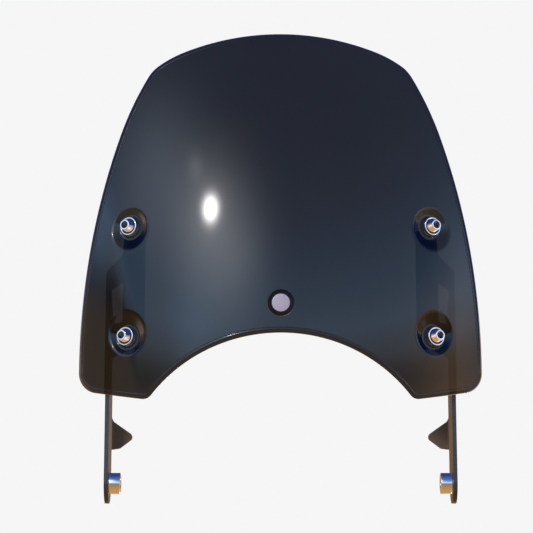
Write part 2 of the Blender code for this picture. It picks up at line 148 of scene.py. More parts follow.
RING_BORE, RING_RADIUS, RING_LOW, RING_HIGH = 3.1, 3.85, 0.15, 1.25
CUP_BACK = GAP + COLLAR_THICK + GAP
HEAD_BACK = CUP_BACK + CUP_FLOOR + GAP
WASHER_FRONT = -GLASS_THICK - GAP - BACK_FLANGE_THICK - GAP - PLATE - GAP
NUT_FRONT = WASHER_FRONT - WASHER_THICK - GAP

# The bushes and the badge.
BUSH_RADIUS, BUSH_LENGTH, BUSH_BORE, SPIGOT_RADIUS = 10.0, 10.3, 4.2, 6.0
BADGE_Z = 172.5
BADGE_RADIUS, BADGE_HEIGHT = 12.6, 2.6
BADGE_LIP, BADGE_SHELF, BADGE_STEP = 1.5, 2.4, 0.5
DISC_THICK, DISC_DOME, DOME_STEPS = 0.9, 0.5, 10

# The camera, and how wide its view is at the pivots' plane.
CAMERA_AT = Vector((-13.3, -1870.0, 206.15))
VIEW_WIDTH = 506.35
# The backdrop's and the floor's brightness, and the floor's half width and distance below the part.
PALE = 0.92
FLOOR_HALF, FLOOR_DROP = 4000, 40
# Where the key lamp stands, and the glow that the screen reflects.
GLOW_FROM = Vector((-0.404, -0.696, 0.596))
# The lamps: each a direction, a distance and a size in metres, a power in watts, and a colour.
LAMPS = {
    "key": (GLOW_FROM, 2.2, 0.6, 32, (1.0, 0.94, 0.84)),
    "fill": (Vector((0.8, -1.0, 0.3)), 2.4, 1.2, 8, (0.8, 0.88, 1.0)),
    "behind": (Vector((-0.3, 1.0, 0.9)), 2.4, 1.4, 10, (0.9, 0.94, 1.0)),
}

# How much of a reflection from inside the screen gets out through its tint.
TINT_ON_LEAVING = 0.13
# What the part reflects, by the direction's Z: in front of it and behind it. The one gives way to
# the other between this much of -Y and as much of +Y.
SIDE_BLEND = 0.25
SKY_STRENGTH = 2.0
FRONT_LIGHT = (
    (-1.00, (0.64, 0.35, 0.12)),
    (-0.82, (0.57, 0.33, 0.13)),
    (-0.30, (0.45, 0.27, 0.13)),
    (-0.02, (0.40, 0.25, 0.14)),
    (0.05, (0.17, 0.14, 0.13)),
    (0.09, (0.28, 0.26, 0.27)),
    (0.15, (0.55, 0.70, 0.92)),
    (0.24, (0.60, 0.95, 1.50)),
    (0.34, (0.38, 0.72, 1.25)),
    (0.47, (0.26, 0.46, 0.92)),
    (0.59, (0.17, 0.30, 0.64)),
    (0.77, (0.10, 0.18, 0.44)),
    (0.95, (0.085, 0.15, 0.40)),
    (1.00, (0.05, 0.09, 0.26)),
)
BACK_LIGHT = (
    (-1.00, (0.64, 0.35, 0.12)),
    (-0.80, (0.72, 0.40, 0.14)),
    (-0.10, (0.56, 0.31, 0.12)),
    (-0.01, (0.50, 0.30, 0.14)),
    (0.01, (0.80, 0.82, 0.90)),
    (0.04, (0.16, 0.22, 0.52)),
    (0.12, (0.014, 0.034, 0.165)),
    (1.00, (0.030, 0.070, 0.320)),
)
# On the left the horizon stands higher: from this much of -X to this much, by this much of Z, and
# fully so from this much of -Y.
LEFT_FROM, LEFT_TO, LEFT_RISE, LEFT_AHEAD = 0.82, 0.90, 0.19, 0.15
# The glows: each a direction, a colour, a strength, and the power of the cosine that it fades by.
WHITE = (1.0, 0.98, 0.95)
GLOWS = (
    (GLOW_FROM, WHITE, 55, 1300),
    (GLOW_FROM, WHITE, 2.0, 260),
    (GLOW_FROM, WHITE, 1.3, 45),
    (Vector((-0.28, -0.84, 0.46)), (0.86, 0.92, 1.0), 1.45, 50),
    (Vector((-0.48, -0.73, 0.49)), (0.82, 0.90, 1.0), 1.15, 40),
    (Vector((-0.66, -0.44, 0.61)), (0.72, 0.85, 1.0), 1.25, 30),
    (Vector((-0.52, -0.83, 0.20)), (0.30, 0.60, 1.0), 0.9, 60),
    (Vector((-0.92, -0.17, 0.36)), (0.0, 0.35, 1.0), 1.1, 160),
    (Vector((0.94, -0.33, 0.00)), (1.0, 0.55, 0.22), 0.9, 24),
    (Vector((0.97, -0.17, 0.20)), (0.35, 0.60, 1.0), 0.5, 50),
)

RIGHT = Vector((1, 0, 0))
UP = Vector((0, math.sin(LEAN), math.cos(LEAN)))
FORE = Vector((0, -math.cos(LEAN), math.sin(LEAN)))


# Small geometry helpers.


def unit(angle):
    """The direction at an angle in radians, as a flat vector."""
    return Vector((math.cos(angle), math.sin(angle)))


def arc(centre, radius, start, end, step):
    """Points along an arc without its end."""
    pieces = max(2, math.ceil(abs(end - start) * radius / step))
    return [centre + radius * unit(start + (end - start) * i / pieces) for i in range(pieces)]


def rounded(corners, step=math.radians(9), closed=True):
    """An outline through (x, y, radius) corners with an arc at each. A zero radius stays sharp."""
    outline = []
    count = len(corners)
    for i, (x, y, radius) in enumerate(corners):
        here = Vector((x, y))
        if radius == 0 or (not closed and i in (0, count - 1)):
            outline.append(here)
            continue
        back = (Vector(corners[i - 1][:2]) - here).normalized()
        ahead = (Vector(corners[(i + 1) % count][:2]) - here).normalized()
        half = back.angle(ahead) / 2
        centre = here + (back + ahead).normalized() * radius / math.sin(half)
        start = here + back * radius / math.tan(half) - centre
        turn = math.copysign(math.pi - 2 * half, -back.x * ahead.y + back.y * ahead.x)
        pieces = max(2, math.ceil(abs(turn) / step))
        for j in range(pieces + 1):
            outline.append(centre + Matrix.Rotation(turn * j / pieces, 2) @ start)
    return outline


def ring(centre, radius, sides):
    return [Vector(centre) + radius * unit(2 * math.pi * i / sides) for i in range(sides)]


def inside(outline, points):
    """Which flat points lie inside a closed outline, as an array of truth values."""
    found = np.zeros(len(points), bool)
    x, y = points[:, 0], points[:, 1]
    for a, b in zip(outline, outline[1:] + outline[:1]):
        if a[1] == b[1]:
            continue
        crossing = ((a[1] > y) != (b[1] > y)) & (x < a[0] + (b[0] - a[0]) * (y - a[1]) / (b[1] - a[1]))
        found ^= crossing
    return found


def nearest(points, wanted):
    """The index of the flat point nearest to each wanted one."""
    return [int(np.argmin(np.linalg.norm(points - point, axis=1))) for point in wanted]


def triangulated(outline, holes, loops=(), lines=(), loose=()):
    """(points, triangles) of a flat sheet that follows loops and lines and has loose points in it."""
    points, edges = [], []
    for closed in (outline, *holes, *loops):
        first = len(points)
        points += [Vector(point) for point in closed]
        edges += [(first + i, first + (i + 1) % len(closed)) for i in range(len(closed))]
    for a, b in lines:
        edges.append((len(points), len(points) + 1))
        points += [a, b]
    points += [Vector(point) for point in loose]
    points, _, faces, *_ = delaunay_2d_cdt(points, edges, [], 0, 1e-4)
    flat = np.array([point[:] for point in points])
    middles = flat[np.array(faces)].mean(axis=1)
    kept = inside(outline, middles)
    for hole in holes:
        kept &= ~inside(hole, middles)
    faces = np.array(faces)[kept]
    used = np.unique(faces)
    place = np.zeros(len(flat), int)
    place[used] = np.arange(len(used))
    return flat[used], place[faces]


# Objects and meshes.


def new_mesh(name, points, faces):
    mesh = bpy.data.meshes.new(name)
    mesh.from_pydata((np.asarray(points) * MM).tolist(), [], [list(map(int, face)) for face in faces])
    mesh.update()
    return mesh


def new_object(name, data):
    """An object that is in the scene."""
    made = bpy.data.objects.new(name, data)
    bpy.context.scene.collection.objects.link(made)
    return made


def add_modifier(piece, name, kind, **settings):
    modifier = piece.modifiers.new(name, kind)
    for setting, value in settings.items():
        setattr(modifier, setting, value)


def shade(mesh, sharp=32):
    """Smooth shading, with edges over an angle in degrees left sharp."""
    mesh.shade_smooth()
    mesh.set_sharp_from_angle(angle=math.radians(sharp))


def new_piece(name, mesh, body, slot, nodes, place=Matrix(), material=None):
    """A piece that rides on a body and stands for CAD nodes, in its slot's material or its own."""
    material = material or LOOKS[slot]
    piece = new_object(name, mesh)
    piece.matrix_world = place
    bpy.context.view_layer.update()
    if material.name not in mesh.materials:
        mesh.materials.append(material)
    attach(piece, body)
    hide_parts(*nodes)
    return piece


def lathe(name, profile, sides, through=True, wobble=None):
    """A mesh turned about Z from flat (radius, height) points that run down the outer side.

    A profile that goes through is a ring's whole section. Any other starts and ends on the axis.
    wobble(radius, height, angle) gives a changed radius.
    """
    rows = len(profile)
    points, faces = [], []
    for i in range(sides):
        angle = 2 * math.pi * i / sides
        for radius, height in profile:
            radius = wobble(radius, height, angle) if wobble else radius
            points.append((radius * math.cos(angle), radius * math.sin(angle), height))
    for i in range(sides):
        here, there = i * rows, (i + 1) % sides * rows
        for j in range(rows if through else rows - 1):
            k = (j + 1) % rows
            faces.append((here + j, here + k, there + k, there + j))
    mesh = new_mesh(name, points, faces)
    shape = bmesh.new()
    shape.from_mesh(mesh)
    bmesh.ops.remove_doubles(shape, verts=shape.verts, dist=1e-7)
    bmesh.ops.recalc_face_normals(shape, faces=shape.faces)
    shape.to_mesh(mesh)
    shape.free()
    shade(mesh)
    return mesh


def prism(name, outline, low, high):
    """A mesh of a flat outline's prism about Z."""
    count = len(outline)
    points = [(*point, height) for height in (low, high) for point in outline]
    faces = [tuple(reversed(range(count))), tuple(range(count, 2 * count))]
    faces += [(i, (i + 1) % count, count + (i + 1) % count, count + i) for i in range(count)]
    return new_mesh(name, points, faces)


def combined(mesh, operation, other):
    """The Boolean of two meshes, as a mesh."""
    base, tool = (new_object("temporary", part) for part in (mesh, other))
    add_modifier(base, "cut", "BOOLEAN", operation=operation, object=tool)
    bpy.context.view_layer.update()
    result = bpy.data.meshes.new_from_object(base.evaluated_get(bpy.context.evaluated_depsgraph_get()))
    for used in (base, tool):
        bpy.data.objects.remove(used)
    return result


# Materials.


def feed(tree, node, inputs):
    """Sets a node's inputs, by name or number. Each is a value or the output that feeds it."""
    for name, value in inputs.items():
        if isinstance(value, bpy.types.NodeSocket):
            tree.links.new(value, node.inputs[name])
        else:
            node.inputs[name].default_value = value


def add_node(tree, kind, inputs=None, **settings):
    node = tree.nodes.new(kind)
    for name, value in settings.items():
        setattr(node, name, value)
    feed(tree, node, inputs or {})
    return node


def calculated(tree, operation, *values, **settings):
    """The output of a sum on values and outputs."""
    inputs = dict(enumerate(values))
    return add_node(tree, "ShaderNodeMath", inputs, operation=operation, **settings).outputs[0]


class Look:
    """A Principled material and what feeds it. Its texture coordinates are the object's own."""

    def __init__(self, name, colour, roughness, metallic=0.0, **inputs):
        self.material = bpy.data.materials.new(name)
        self.material.use_nodes = True
        self.tree = self.material.node_tree
        self.where = self.add("ShaderNodeTexCoord").outputs["Object"]
        self.shade(**{"Base Color": (*colour, 1), "Roughness": roughness, "Metallic": metallic}, **inputs)

    def add(self, kind, inputs=None, **settings):
        return add_node(self.tree, kind, inputs, **settings)

    def shade(self, **inputs):
        feed(self.tree, self.tree.nodes["Principled BSDF"], inputs)

    def noise(self, size, detail=3.0, rough=0.5):
        """Noise whose features are about size millimetres across."""
        inputs = {"Vector": self.where, "Scale": 1 / (size * MM), "Detail": detail, "Roughness": rough}
        return self.add("ShaderNodeTexNoise", inputs).outputs["Fac"]

    def scaled(self, value, low, high):
        """A noise's value, of which the middle part is spread from low to high."""
        inputs = {"Value": value, "From Min": 0.3, "From Max": 0.7, "To Min": low, "To Max": high}
        return self.add("ShaderNodeMapRange", inputs).outputs["Result"]

    def vary_colour(self, value, one, two):
        """Lets a noise's value carry the base colour from one to another."""
        inputs = {"Factor": self.scaled(value, 0, 1), "A": (*one, 1), "B": (*two, 1)}
        mix = self.add("ShaderNodeMix", inputs, data_type="RGBA")
        self.shade(**{"Base Color": mix.outputs["Result"]})

    def vary_roughness(self, value, low, high):
        self.shade(Roughness=self.scaled(value, low, high))

    def bump(self, height, depth):
        """Gives the surface a bump whose height of 1 is depth millimetres."""
        bump = self.add("ShaderNodeBump", {"Height": height, "Distance": depth * MM})
        self.shade(Normal=bump.outputs["Normal"])

    def radius(self):
        """The distance from the object's Z axis, in metres."""
        parts = self.add("ShaderNodeSeparateXYZ", {"Vector": self.where}).outputs
        squares = [calculated(self.tree, "MULTIPLY", parts[axis], parts[axis]) for axis in "XY"]
        return calculated(self.tree, "SQRT", calculated(self.tree, "ADD", *squares))


def smoked_acrylic():
    look = Look("smoked_acrylic", (0.0165, 0.0165, 0.017), 0.02, IOR=1.49, **{"Transmission Weight": 1.0})
    look.vary_roughness(look.noise(34, 4, 0.6), 0.008, 0.03)
    look.vary_colour(look.noise(90, 2), (0.0155, 0.0155, 0.016), (0.0175, 0.0175, 0.018))
    look.bump(look.noise(60, 1, 0.4), 0.03)
    return look.material


def powder_coat():
    look = Look("black_powder_coat", (0.040, 0.033, 0.028), 0.38, IOR=1.5)
    peel = look.noise(0.55, 3, 0.55)
    look.vary_colour(look.noise(6), (0.021, 0.019, 0.017), (0.029, 0.026, 0.023))
    look.vary_roughness(peel, 0.30, 0.44)
    look.bump(peel, 0.05)
    return look.material


# The tabs' black coat with a brown painted reflection of warm ground in its colour.
def tab_painted_reflection():
    look = Look("tab_painted_reflection", (0.125, 0.092, 0.066), 0.75, **{"Specular IOR Level": 0.1})
    grain = look.noise(0.7, 3, 0.6)
    look.vary_colour(grain, (0.115, 0.084, 0.060), (0.135, 0.100, 0.072))
    look.bump(grain, 0.05)
    return look.material


def chrome():
    look = Look("chrome", (0.80, 0.80, 0.82), 0.05, 1.0)
    look.vary_roughness(look.noise(2.2, 4, 0.6), 0.05, 0.12)
    look.bump(look.noise(3.5, 2), 0.004)
    return look.material


def zinc():
    look = Look("zinc_steel", (0.56, 0.57, 0.58), 0.32, 1.0)
    spangle = look.noise(1.6, 4, 0.65)
    look.vary_colour(spangle, (0.46, 0.47, 0.49), (0.64, 0.65, 0.66))
    look.vary_roughness(spangle, 0.24, 0.42)
    look.bump(look.noise(0.35, 2), 0.01)
    return look.material


def rubber():
    look = Look("black_rubber", (0.008, 0.008, 0.009), 0.34, **{"Specular IOR Level": 0.2})
    bloom = look.noise(5, 4, 0.6)
    look.vary_colour(bloom, (0.006, 0.006, 0.007), (0.012, 0.012, 0.012))
    look.vary_roughness(bloom, 0.28, 0.40)
    look.bump(look.noise(0.25, 3, 0.6), 0.02)
    return look.material


def nylon():
    look = Look("nylon", (0.42, 0.44, 0.46), 0.45)
    look.vary_roughness(look.noise(0.8), 0.38, 0.52)
    return look.material


# Dark metal for faces painted dark: painted shade inside the screws' sockets, and the cups' outer sides.
def painted_dark_metal():
    look = Look("painted_dark_metal", (0.03, 0.028, 0.027), 0.4, 0.8)
    mottle = look.noise(0.5)
    look.vary_colour(mottle, (0.015, 0.014, 0.014), (0.07, 0.06, 0.05))
    look.vary_roughness(mottle, 0.3, 0.5)
    return look.material


def badge_black():
    look = Look("badge_black", (0.006, 0.006, 0.008), 0.3, **{"Specular IOR Level": 0.1})
    fleck = look.noise(0.4, 2)
    look.vary_roughness(fleck, 0.2, 0.32)
    look.bump(fleck, 0.006)
    return look.material


def badge_silver():
    """Metal with the fine rings that turning leaves: noise of the distance from the axis alone."""
    look = Look("badge_silver", (0.37, 0.315, 0.365), 0.5, 0.35)
    rings_a_metre = 9000.0
    along = calculated(look.tree, "MULTIPLY", look.radius(), rings_a_metre)
    inputs = {"W": along, "Scale": 1.0, "Detail": 2.0}
    turned = look.add("ShaderNodeTexNoise", inputs, noise_dimensions="1D").outputs["Fac"]
    look.vary_roughness(turned, 0.42, 0.6)
    look.bump(turned, 0.012)
    return look.material


LOOKS = {
    "smoked_acrylic": smoked_acrylic(),
    "black_powder_coat": powder_coat(),
    "chrome": chrome(),
    "zinc_steel": zinc(),
    "black_rubber": rubber(),
    "badge_black": badge_black(),
    "badge_silver": badge_silver(),
}
NYLON = nylon()
TAB_PAINTED_REFLECTION = tab_painted_reflection()
PAINTED_DARK = painted_dark_metal()


# The screen.


def seat_axis(side):
    """The direction of a side's screws, forward."""
    out = RIGHT * math.cos(FLANGE_BEND) + FORE * math.sin(FLANGE_BEND)
    return Vector((out.x * side, out.y, out.z))


def seat_frame(corner):
    """A screw's seat on the screen: its centre, with its Z axis forward along the screw."""
    low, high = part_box(f"spacer_sleeve_{corner}")
    axis = seat_axis(SIDES[corner.split("_")[1]])
    sleeve_middle = (GAP + COLLAR_THICK - GLASS_THICK - GAP - BACK_FLANGE_THICK) / 2
    across = UP.cross(axis).normalized()
    place = Matrix((across, axis.cross(across), axis)).transposed().to_4x4()
    place.translation = (low + high) / 2 / MM - axis * sleeve_middle
    return place


SEATS = {corner: seat_frame(corner) for corner in CORNERS}


def at_seat(corner, height):
    """A place in metres on a screw's axis, at a height over its seat."""
    place = SEATS[corner].copy()
    place.translation = (SEATS[corner] @ Vector((0, 0, height))) * MM
    return place


def glass_front(flat):
    """The front face's points over flat (x, z) points, before the dishes are pressed in."""
    x, z = flat[:, 0], flat[:, 1]
    across = SWEEP_RADIUS - np.sqrt(SWEEP_RADIUS**2 - x * x)
    lean = LEAN_RADIUS - np.sqrt(LEAN_RADIUS**2 - (z - LEAN_START_Z) ** 2)
    return np.stack([x, GLASS_FRONT_Y + across + lean, z], axis=1)


def blended_least(a, b, width):
    """The lesser of two arrays, rounded where they cross."""
    near = np.clip(1 - np.abs(a - b) / width, 0, None)
    return np.minimum(a, b) - near * near * width / 4


def glass(flat):
    """The front face's points, with a dish pressed in along each screw."""
    points = glass_front(flat)
    for seat in SEATS.values():
        centre, axis = np.array(seat.translation), np.array(seat.col[2].xyz)
        off = points - centre
        height = off @ axis
        radius = np.linalg.norm(off - height[:, None] * axis, axis=1)
        cone = (radius - SEAT_RADIUS) * math.tan(DISH_WALL)
        dish = -blended_least(-cone, np.zeros(len(radius)), SEAT_BLEND)
        pressed = blended_least(height, dish, RIM_BLEND)
        points = points + (pressed - height)[:, None] * axis
    return points


def glass_and_normals(flat, step=0.04):
    """The front face's points and its normals, which point forward."""
    along_x, along_z = np.array([step, 0]), np.array([0, step])
    across = glass(flat + along_x) - glass(flat - along_x)
    up = glass(flat + along_z) - glass(flat - along_z)
    normals = np.cross(across, up)
    return glass(flat), normals / np.linalg.norm(normals, axis=1)[:, None]


def half_outline(step):
    """The right half of the outline, from the top of the middle line to the arch's crown."""
    centre, radius = Vector((0, TOP_Z - TOP_RADIUS)), TOP_RADIUS
    start, end = math.pi / 2, math.radians(TOP_END)
    outline = arc(centre, radius, start, end, step)
    for next_radius, next_end, fine in (
        (CREST_RADIUS, CREST_END, step),
        (SHOULDER_RADIUS, SHOULDER_END, step / 1.5),
        (UPPER_FLANK_RADIUS, UPPER_FLANK_END, step),
        (FLANK_RADIUS, FLANK_END, step * 1.3),
        (TOE_RADIUS, TOE_END, step / 2.5),
    ):
        centre = centre + (radius - next_radius) * unit(end)
        radius, start, end = next_radius, end, math.radians(next_end)
        outline += arc(centre, radius, start, end, fine)
    # The toe's edge runs straight to the horn, whose arc touches the arch's circle.
    along = unit(end - math.pi / 2)
    line = centre + (radius - HORN_RADIUS) * unit(end)
    arch = Vector((0, ARCH_CENTRE_Z))
    from_arch = line - arch
    reach = from_arch.dot(along)
    run = -reach - math.sqrt(reach**2 - from_arch.length_squared + (ARCH_RADIUS + HORN_RADIUS) ** 2)
    horn = line + along * run
    pieces = math.ceil(run / step)
    outline += [centre + radius * unit(end) + along * run * i / pieces for i in range(pieces)]
    to_arch = arch - horn
    inward = math.atan2(to_arch.y, to_arch.x)
    outline += arc(horn, HORN_RADIUS, end, inward, step / 3)
    outline += arc(arch, ARCH_RADIUS, inward + math.pi, math.pi / 2, step)
    return outline + [Vector((0, ARCH_CENTRE_Z + ARCH_RADIUS))]


def whole_outline():
    """The whole outline, anticlockwise from the front, as an array."""
    half = np.array([point[:] for point in half_outline(OUTLINE_STEP)])
    mirrored = half[-2:0:-1] * (-1, 1)
    return np.concatenate([half, mirrored])[::-1]


def edge_profile():
    """(in, height, turn) steps from the rim onto the front face and onto the back face.

    turn is the angle of the surface's normal from the face's own towards the rim.
    """
    front, back = [], []
    for i in range(FRONT_EDGE_STEPS + 1):
        t = math.pi / 2 * i / FRONT_EDGE_STEPS
        turn = math.atan2(FRONT_EDGE_DEPTH * math.cos(t), FRONT_EDGE * math.sin(t))
        front.append((FRONT_EDGE * (1 - math.cos(t)), -FRONT_EDGE_DEPTH * (1 - math.sin(t)), turn))
    for i in range(1, HOLLOW_STEPS + 1):
        u = math.pi * i / HOLLOW_STEPS
        place = FRONT_EDGE + HOLLOW_WIDTH * i / HOLLOW_STEPS
        slope = -HOLLOW_DEPTH * math.pi / HOLLOW_WIDTH * math.sin(2 * u)
        front.append((place, -HOLLOW_DEPTH * math.sin(u) ** 2, math.atan(slope)))
    depth = GLASS_THICK - FRONT_EDGE_DEPTH
    for i in range(1, BACK_EDGE_STEPS + 1):
        t = math.pi / 2 * i / BACK_EDGE_STEPS
        turn = math.atan2(depth * math.cos(t), BACK_EDGE * math.sin(t))
        back.append((BACK_EDGE * (1 - math.cos(t)), -GLASS_THICK + depth * (1 - math.sin(t)), turn))
    return front, back


def dish_rings(corner):
    """A dish's hole and the loops that its mesh follows, in front view."""
    seat = SEATS[corner]
    axis = np.array(seat.col[2].xyz)
    round_seat = [unit(2 * math.pi * i / DISH_SIDES) for i in range(DISH_SIDES)]

    def even(radius):
        return np.full(DISH_SIDES, radius)

    def over(radius):
        """The flat points over the seat's circle, and their heights over the seat."""
        local = np.array([(*(radius[i] * round_seat[i]), 0.0) for i in range(DISH_SIDES)])
        world = local @ np.array(seat.to_3x3()).T + np.array(seat.translation)
        height = np.zeros(DISH_SIDES)
        for _ in range(HEIGHT_ROUNDS):
            points = world + height[:, None] * axis
            height -= (points[:, 1] - glass_front(points[:, ::2])[:, 1]) / seat.col[2].y
        return (world + height[:, None] * axis)[:, ::2], height

    # The rim is where the wall meets the front face. It is found by halving.
    low, high = even(SEAT_RADIUS), even(3 * SEAT_RADIUS)
    for _ in range(RIM_ROUNDS):
        middle = (low + high) / 2
        under = (middle - SEAT_RADIUS) * math.tan(DISH_WALL) < over(middle)[1]
        low, high = np.where(under, middle, low), np.where(under, high, middle)
    foot = SEAT_LOOPS[-1]
    radii = [even(radius) for radius in SEAT_LOOPS]
    radii += [foot + (low + RIM_LOOPS[0] - foot) * share for share in WALL_LOOPS]
    radii += [low + offset for offset in RIM_LOOPS]
    return over(even(GLASS_HOLE_RADIUS))[0], [over(radius)[0] for radius in radii]


def face_sheet(outline, dishes):
    """(points, triangles) of a face inside an outline, with loops round the dishes."""
    outline = [Vector(point) for point in outline]
    holes = [[Vector(point) for point in hole] for hole, _ in dishes]
    loops = [[Vector(point) for point in loop] for _, group in dishes for loop in group]
    rims = [[Vector(point) for point in group[-1]] for _, group in dishes]
    rows, columns = range(int(TOP_Z / FACE_STEP) + 1), range(-FACE_COLUMNS, FACE_COLUMNS + 1)
    grid = np.array([((c + (r % 2) / 2) * FACE_STEP, r * FACE_STEP) for r in rows for c in columns])
    keep = inside(outline, grid)
    for _, group in dishes:
        keep &= ~inside([tuple(point) for point in group[-1]], grid)
    grid = grid[keep]
    solid = np.array([point[:] for point in sum(rims, outline)])
    near = np.array([np.min(np.linalg.norm(solid - point, axis=1)) for point in grid])
    return triangulated(outline, holes, loops, loose=grid[near > FACE_STEP / 2])


def build_screen():
    """One shell: the front sheet, the edge's bands, the back sheet and the holes' walls."""
    outline = whole_outline()
    count = len(outline)
    ahead, behind = np.roll(outline, -1, axis=0), np.roll(outline, 1, axis=0)
    tangent = (ahead - behind) / np.linalg.norm(ahead - behind, axis=1)[:, None]
    inward = np.stack([-tangent[:, 1], tangent[:, 0]], axis=1)
    # How far a millimetre on the curved face goes in front view.
    reach = glass_front(outline + inward * 0.5) - glass_front(outline - inward * 0.5)
    stretch = np.linalg.norm(reach, axis=1)
    inward_3d = reach / stretch[:, None]
    front, back = edge_profile()
    points, normals, faces = [], [], []

    def add_ring(distance, height, turn, flip):
        flat = outline + inward * (distance / stretch)[:, None]
        # A ring keeps its place in front view, whatever its height.
        flat = flat - glass_and_normals(flat)[1][:, ::2] * height
        place, normal = glass_and_normals(flat)
        first = sum(map(len, points))
        points.append(place + normal * height)
        facing = -normal if flip else normal
        tilted = facing * math.cos(turn) - inward_3d * math.sin(turn)
        normals.append(tilted / np.linalg.norm(tilted, axis=1)[:, None])
        return first

    def add_band(outer, inner, flip):
        for i in range(count):
            j = (i + 1) % count
            band = (outer + i, outer + j, inner + j, inner + i)
            faces.append(band[::-1] if flip else band)

    def add_face(distance, behind_front, flip, ring_start):
        """The sheet inside the last ring. Its own outline points are the ring's."""
        flat_ring = outline + inward * (distance / stretch)[:, None]
        flat, triangles = face_sheet(flat_ring, dishes)
        place, normal = glass_and_normals(flat)
        first = sum(map(len, points))
        points.append(place + normal * behind_front)
        normals.append(-normal if flip else normal)
        index = np.arange(len(flat)) + first
        index[nearest(flat, flat_ring)] = ring_start + np.arange(count)
        for triangle in triangles:
            a, b, c = index[triangle]
            faces.append((a, c, b) if flip else (a, b, c))
        return flat, index

    dishes = [dish_rings(corner) for corner in CORNERS]
    rim = last = add_ring(*front[0], False)
    for step in front[1:]:
        here = add_ring(*step, False)
        add_band(last, here, False)
        last = here
    front_flat, front_index = add_face(front[-1][0], 0.0, False, last)
    last = rim
    for step in back:
        here = add_ring(*step, True)
        add_band(last, here, True)
        last = here
    back_flat, back_index = add_face(back[-1][0], -GLASS_THICK, True, last)
    for hole, _ in dishes:
        near, far = front_index[nearest(front_flat, hole)], back_index[nearest(back_flat, hole)]
        for i in range(len(hole)):
            j = (i + 1) % len(hole)
            faces.append((near[i], near[j], far[j], far[i]))
    points, normals = np.concatenate(points), np.concatenate(normals)
    # Only the points that a face uses are kept.
    corners = np.concatenate([np.array(face) for face in faces])
    used, renumbered = np.unique(corners, return_inverse=True)
    cuts = np.cumsum([len(face) for face in faces])[:-1]
    mesh = new_mesh("screen_shell", points[used], np.split(renumbered, cuts))
    mesh.shade_smooth()
    mesh.normals_split_custom_set_from_vertices(normals[used].tolist())
    screen = new_piece("screen_shell", mesh, "windshield", "smoked_acrylic", ["screen"])
    screen.visible_glossy = False


# The brackets: a flat blank in (s, v), folded along lines of constant s.


def folded(s, v):
    """The point of the right bracket's middle surface at s across the blank and v up it."""
    x, fore = PLATE_MIDDLE_X, max(-BAR_HALF, min(BAR_HALF, s))
    for past, bend, radius in (
        (s - BAR_HALF, FLANGE_BEND, FLANGE_BEND_RADIUS),
        (-BAR_HALF - s, TAB_BEND, TAB_BEND_RADIUS),
    ):
        if past <= 0:
            continue
        turn = min(past / radius, bend)
        straight = past - turn * radius
        x -= radius * (1 - math.cos(turn)) + straight * math.sin(turn)
        fore += math.copysign(radius * math.sin(turn) + straight * math.cos(turn), s)
    return RIGHT * x + FORE * fore + UP * v


def flange_s(along):
    """The blank's s at a distance along the flange from the end of its bend."""
    return BAR_HALF + FLANGE_BEND * FLANGE_BEND_RADIUS + along


def bracket_blank():
    """The blank's outline, its holes and the lines it bends along."""
    upper, lower = (Vector((flange_s(SCREWS[level][0]), SCREWS[level][1])) for level in LEVELS)
    root = flange_s(0)
    near, far = flange_s(STRIP_MIDDLE - STRIP_HALF), flange_s(STRIP_MIDDLE + STRIP_HALF)
    end_radius = STRIP_HALF - 0.01
    outline = rounded([
        (-BAR_HALF, -BAR_HALF, BAR_HALF - 0.01),
        (BAR_HALF, -BAR_HALF, BAR_HALF - 0.01),
        (BAR_HALF, FLANGE_FOOT, 12),
        (root + 6, FLANGE_LOW, 10),
        (far, lower.y - STRIP_HALF, end_radius),
        (far, upper.y + STRIP_HALF, end_radius),
        (near, upper.y + STRIP_HALF, end_radius),
        (near, STRIP_TOP, 6),
        (root - 2, FLANGE_TOP, 10),
        (-BAR_HALF, PLATE_TOP, 14),
        *TAB_CORNERS,
    ])
    window_root = root + WINDOW_FROM_BEND
    window = rounded([
        (window_root, WINDOW_FOOT, 4),
        (near, WINDOW_FOOT, 4),
        (near, WINDOW_STRIP_TOP, 2.5),
        (window_root, WINDOW_ROOT_TOP, 2.5),
    ])
    holes = [
        window,
        ring((0, 0), PIVOT_HOLE_RADIUS, sides=64),
        ring(lower, SCREW_HOLE_RADIUS, sides=40),
        ring(upper, SCREW_HOLE_RADIUS, sides=40),
    ]
    folds = [
        BAR_HALF + FLANGE_BEND * FLANGE_BEND_RADIUS * i / FLANGE_FOLDS for i in range(FLANGE_FOLDS + 1)
    ]
    folds += [-BAR_HALF - TAB_BEND * TAB_BEND_RADIUS * i / TAB_FOLDS for i in range(TAB_FOLDS + 1)]
    return outline, holes, [(Vector((s, FOLD_FOOT)), Vector((s, FOLD_TOP))) for s in folds]


def build_brackets():
    """The folded sheets, which modifiers then thicken and bevel."""
    outline, holes, folds = bracket_blank()
    flat, faces = triangulated(outline, holes, lines=folds)
    painted_reflection_start = -BAR_HALF - PAINTED_REFLECTION_FROM * TAB_BEND * TAB_BEND_RADIUS
    for name, side in SIDES.items():
        points = [folded(*point) * Vector((side, 1, 1)) for point in flat]
        mesh = new_mesh(f"bracket_plate_{name}", points, faces if side > 0 else faces[:, ::-1])
        plate = new_piece(
            f"bracket_plate_{name}", mesh, "windshield", "black_powder_coat", [f"bracket_{name}"]
        )
        plate.visible_glossy = False
        add_modifier(
            plate, "thickness", "SOLIDIFY", thickness=PLATE * MM, offset=0,
            use_even_offset=True, use_quality_normals=True,
        )
        add_modifier(
            plate, "edges", "BEVEL", width=PLATE_EDGE * MM, segments=3,
            limit_method="ANGLE", angle_limit=math.radians(50),
        )
        shade(mesh, sharp=40)
        # Past part of the tab's bend, the faces take the brown painted reflection.
        mesh.materials.append(TAB_PAINTED_REFLECTION)
        for i, face in enumerate(mesh.polygons):
            face.material_index = int(flat[faces[i]][:, 0].max() < painted_reflection_start)
        add_modifier(plate, "shading", "WEIGHTED_NORMAL", keep_sharp=True)


# The hardware.


